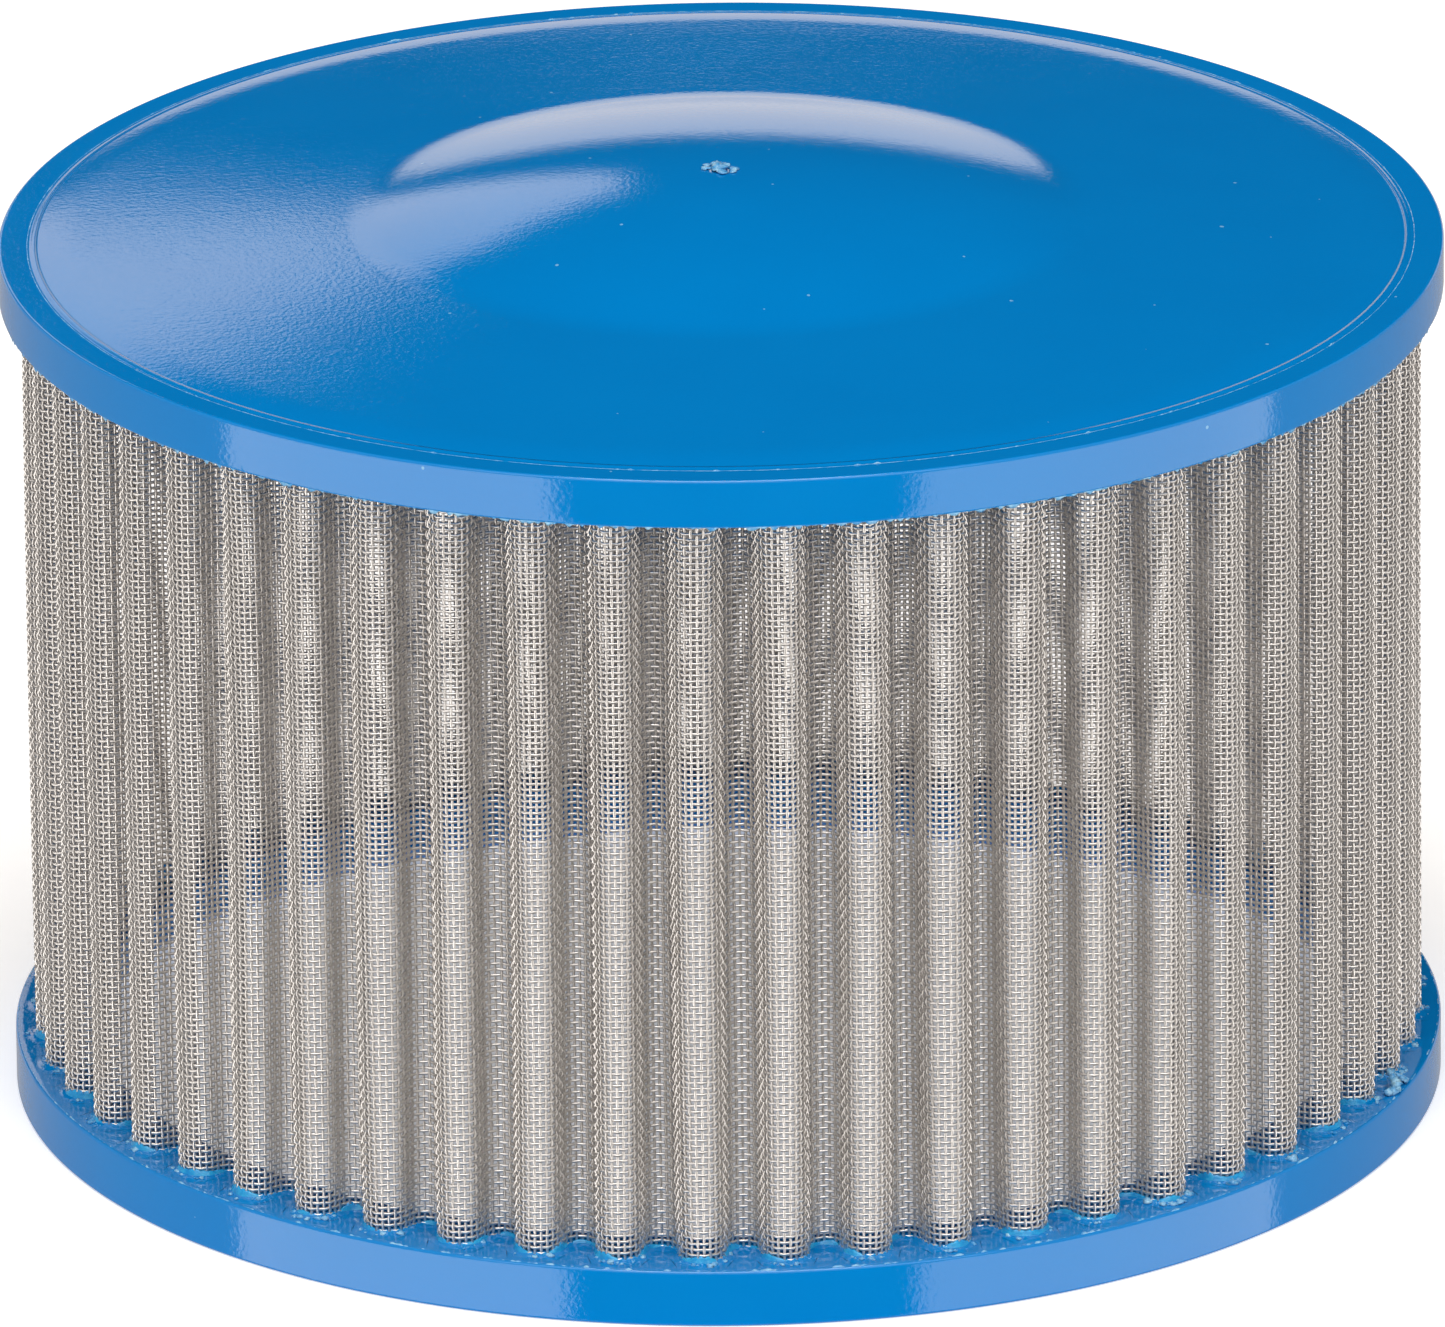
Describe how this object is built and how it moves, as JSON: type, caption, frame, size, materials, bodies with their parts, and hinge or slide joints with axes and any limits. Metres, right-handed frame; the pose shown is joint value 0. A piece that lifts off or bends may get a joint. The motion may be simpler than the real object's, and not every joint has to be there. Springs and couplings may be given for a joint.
{
  "type": "oil filter element",
  "caption": "Pleated woven-wire oil filter element between a closed, domed plastic cap and an open plastic ring with a central bore.",
  "frame": {"origin": "centre of the bottom face of the open ring", "axes": "+Z along the axis from the open ring to the closed cap; -Y is the side that faces the viewer"},
  "size_m": [0.06, 0.06, 0.04],
  "materials": {
    "moulded_plastic": "blue, glossy as moulded, fine orange peel",
    "wire_cloth": "bright drawn stainless wire, plain weave",
    "clip_steel": "rolled stainless strip"
  },
  "bodies": {
    "root": {"top_cap": "moulded_plastic", "bottom_ring": "moulded_plastic", "pleated_screen": "wire_cloth", "seam_clip": "clip_steel"}
  },
  "joints": []
}
